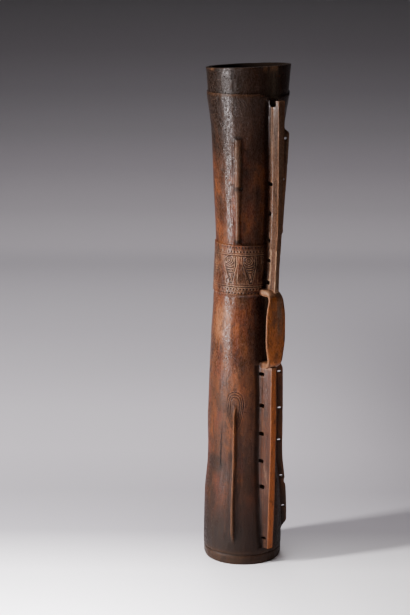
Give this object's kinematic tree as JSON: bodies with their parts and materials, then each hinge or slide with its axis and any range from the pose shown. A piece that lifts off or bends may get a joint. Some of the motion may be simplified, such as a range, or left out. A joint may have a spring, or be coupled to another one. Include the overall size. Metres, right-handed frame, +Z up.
{
  "type": "kundu drum",
  "caption": "Hourglass hand drum carved from one log, open at both ends, with a strap handle, a pierced crest, side ribs and a carved waist band.",
  "frame": {"origin": "on the ground under the middle of the drum's bounding box", "axes": "+Z up along the drum, +X towards the strap handle and the crest"},
  "size_m": [0.1852, 0.1682, 1.0036],
  "materials": {
    "wood": "dark hand-worn wood with a polished, smoke-blackened top and a warm brown belly"
  },
  "bodies": {
    "root": {"drum_body": "wood"}
  },
  "joints": []
}
